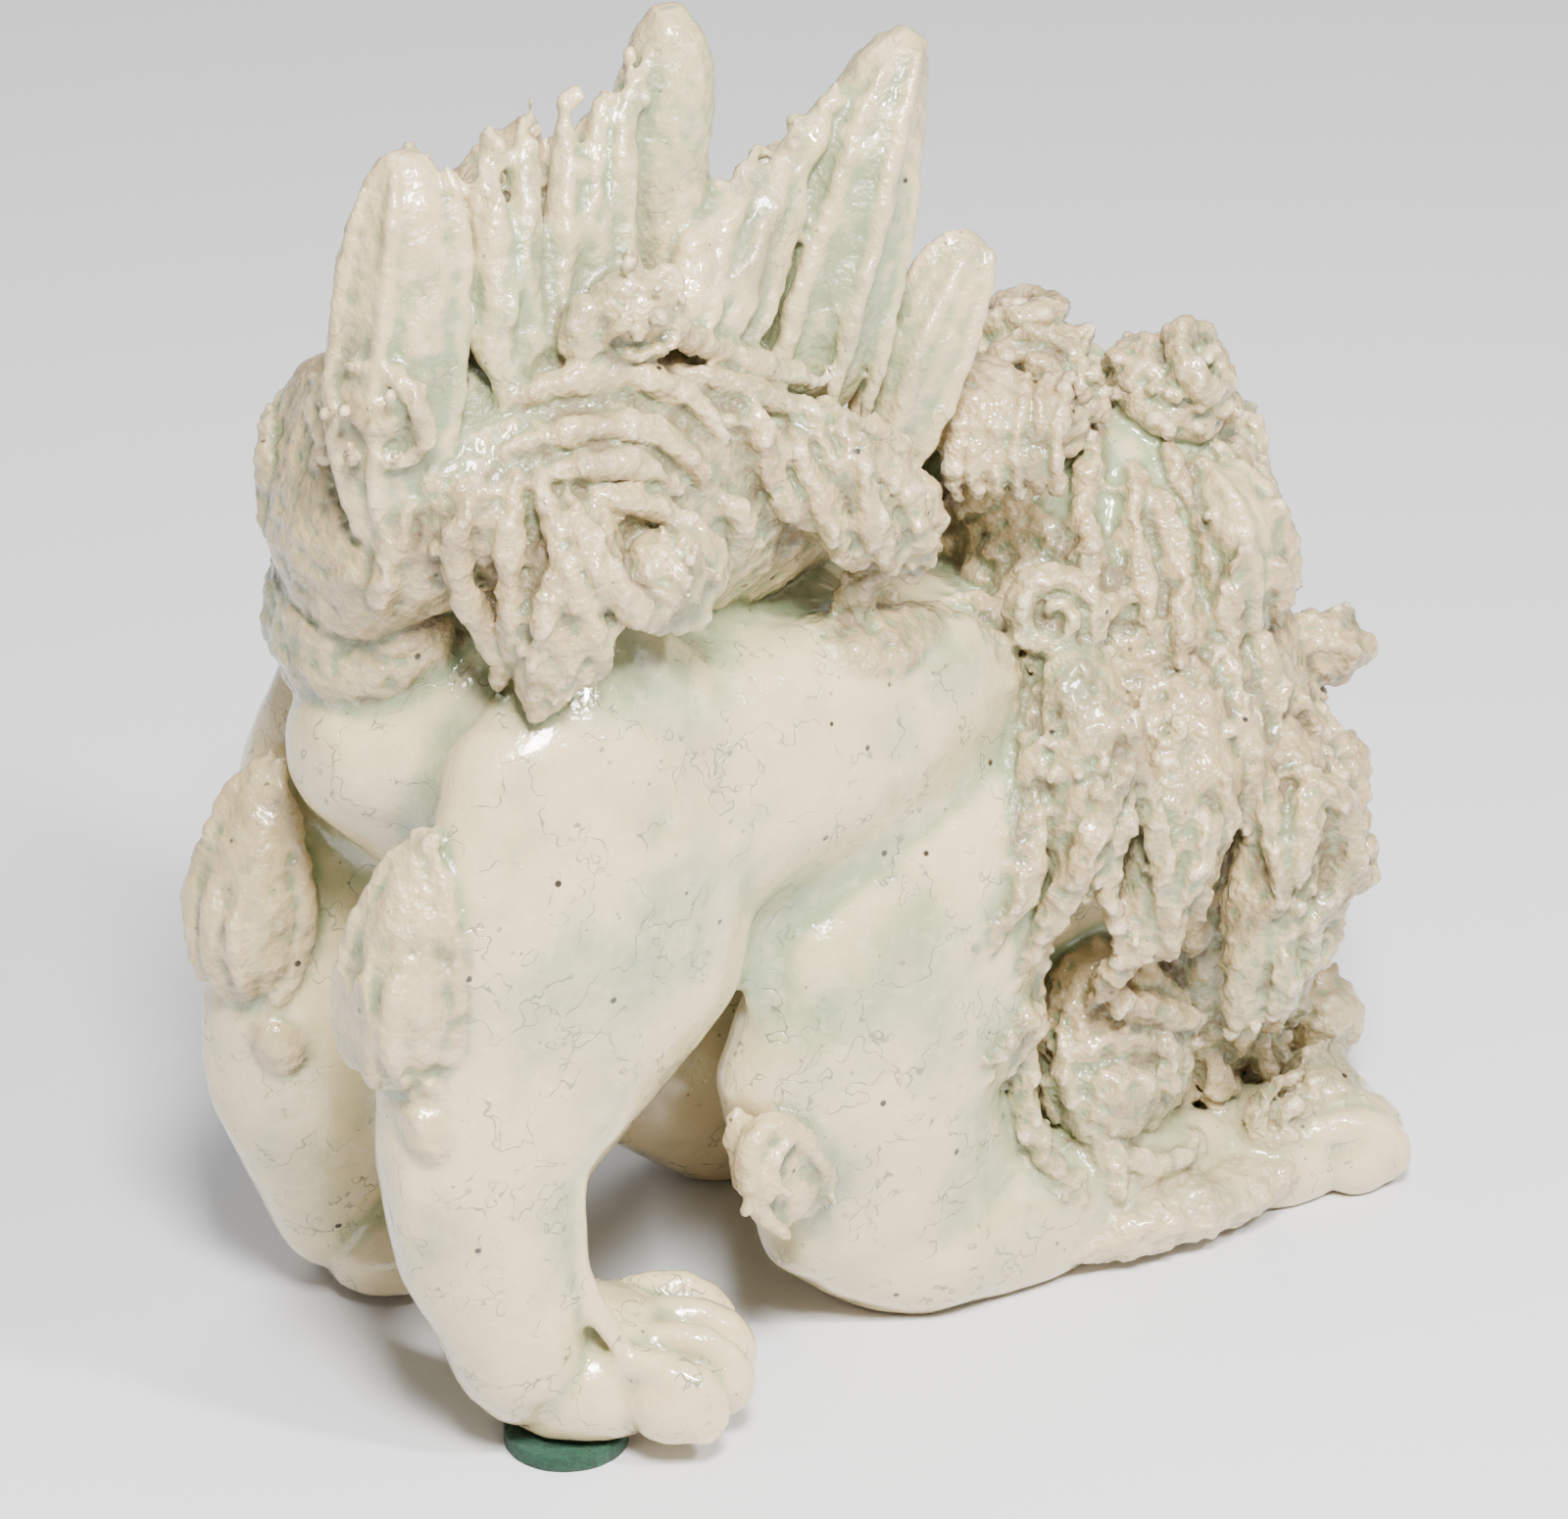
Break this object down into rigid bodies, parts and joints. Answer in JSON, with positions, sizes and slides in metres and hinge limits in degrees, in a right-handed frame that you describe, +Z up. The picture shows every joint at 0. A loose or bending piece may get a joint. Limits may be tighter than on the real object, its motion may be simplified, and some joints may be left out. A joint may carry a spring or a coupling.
{
  "type": "foo dog statue",
  "caption": "Hand-built glazed guardian lion, crouched on its forearms with the rump up, head turned to its left, flame tail standing over the back, on felt pads.",
  "frame": {"origin": "on the ground, under the middle of the figure's bounding box", "axes": "+Z up, +X towards the chest and forepaws, +Y towards the lion's own left, the side its face is turned to"},
  "size_m": [0.1226, 0.0624, 0.132],
  "materials": {
    "celadon_glaze": null,
    "felt": "dark green felt"
  },
  "bodies": {
    "root": {"beard_lock_1": "celadon_glaze", "beard_lock_2": "celadon_glaze", "brow_left": "celadon_glaze", "brow_right": "celadon_glaze", "ear_left": "celadon_glaze", "ear_right": "celadon_glaze", "elbow_tuft_left": "celadon_glaze", "elbow_tuft_right": "celadon_glaze", "eye_left": "celadon_glaze", "eye_right": "celadon_glaze", "felt_pad_left": "felt", "felt_pad_right": "felt", "fore_paw_left": "celadon_glaze", "fore_paw_right": "celadon_glaze", "fore_paw_toes_left": "celadon_glaze", "fore_paw_toes_right": "celadon_glaze", "foreleg_left": "celadon_glaze", "foreleg_right": "celadon_glaze", "hind_leg_left": "celadon_glaze", "hind_leg_right": "celadon_glaze", "hind_paw_left": "celadon_glaze", "hind_paw_right": "celadon_glaze", "hind_paw_toes_left": "celadon_glaze", "hind_paw_toes_right": "celadon_glaze", "hock_tuft_left": "celadon_glaze", "hock_tuft_right": "celadon_glaze", "lower_jaw": "celadon_glaze", "mane_collar": "celadon_glaze", "mane_curl_1": "celadon_glaze", "mane_curl_2": "celadon_glaze", "mane_curl_3": "celadon_glaze", "mane_curl_4": "celadon_glaze", "mane_curl_5": "celadon_glaze", "mane_lock_1": "celadon_glaze", "mane_lock_2": "celadon_glaze", "mane_lock_3": "celadon_glaze", "mane_lock_4": "celadon_glaze", "mane_lock_5": "celadon_glaze", "mane_lock_6": "celadon_glaze", "muzzle": "celadon_glaze", "nose": "celadon_glaze", "skull": "celadon_glaze", "tail_boss_1": "celadon_glaze", "tail_boss_2": "celadon_glaze", "tail_boss_3": "celadon_glaze", "tail_boss_4": "celadon_glaze", "tail_bush": "celadon_glaze", "tail_lock_left_1": "celadon_glaze", "tail_lock_left_2": "celadon_glaze", "tail_lock_right_1": "celadon_glaze", "tail_lock_right_2": "celadon_glaze", "tail_plume_1": "celadon_glaze", "tail_plume_2": "celadon_glaze", "tail_plume_3": "celadon_glaze", "tail_plume_4": "celadon_glaze", "tail_plume_5": "celadon_glaze", "tail_plume_6": "celadon_glaze", "tongue": "celadon_glaze", "torso": "celadon_glaze", "upper_teeth": "celadon_glaze"}
  },
  "joints": []
}
